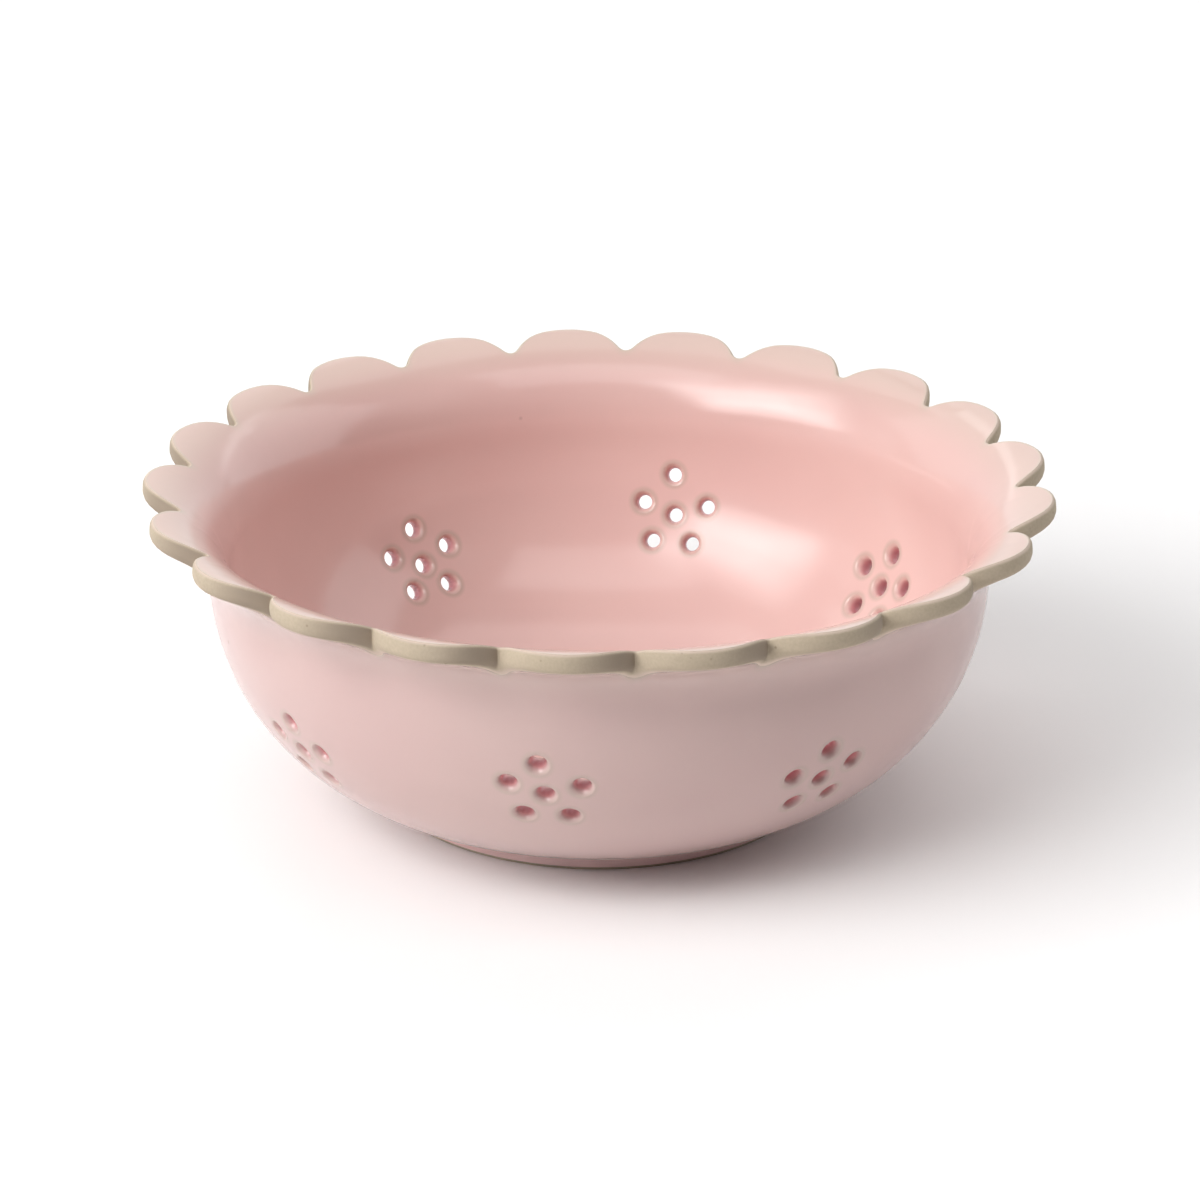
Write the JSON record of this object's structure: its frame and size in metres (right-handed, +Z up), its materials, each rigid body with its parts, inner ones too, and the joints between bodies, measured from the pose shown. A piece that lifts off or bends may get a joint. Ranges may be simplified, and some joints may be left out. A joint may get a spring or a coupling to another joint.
{
  "type": "berry colander bowl",
  "caption": "Round glazed stoneware berry colander bowl with a flared scalloped rim, flower-shaped groups of drain holes and a low foot ring.",
  "frame": {"origin": "centre of the foot ring's standing face", "axes": "+Z up along the bowl's turning axis; -Y towards the picture's viewer"},
  "size_m": [0.1921, 0.1925, 0.0696],
  "materials": {
    "bare_stoneware": "matte",
    "rose_glaze": "gloss",
    "pink_glaze": "gloss"
  },
  "bodies": {
    "root": {"stoneware_body": "bare_stoneware", "foot_ring": "bare_stoneware", "inside_glaze": "rose_glaze", "outside_glaze": "pink_glaze", "foot_glaze": "pink_glaze", "base_glaze": "pink_glaze", "drain_glaze": "rose_glaze", "flower_glaze_1": "rose_glaze", "flower_glaze_2": "rose_glaze", "flower_glaze_3": "rose_glaze", "flower_glaze_4": "rose_glaze", "flower_glaze_5": "rose_glaze", "flower_glaze_6": "rose_glaze", "flower_glaze_7": "rose_glaze", "flower_glaze_8": "rose_glaze"}
  },
  "joints": []
}
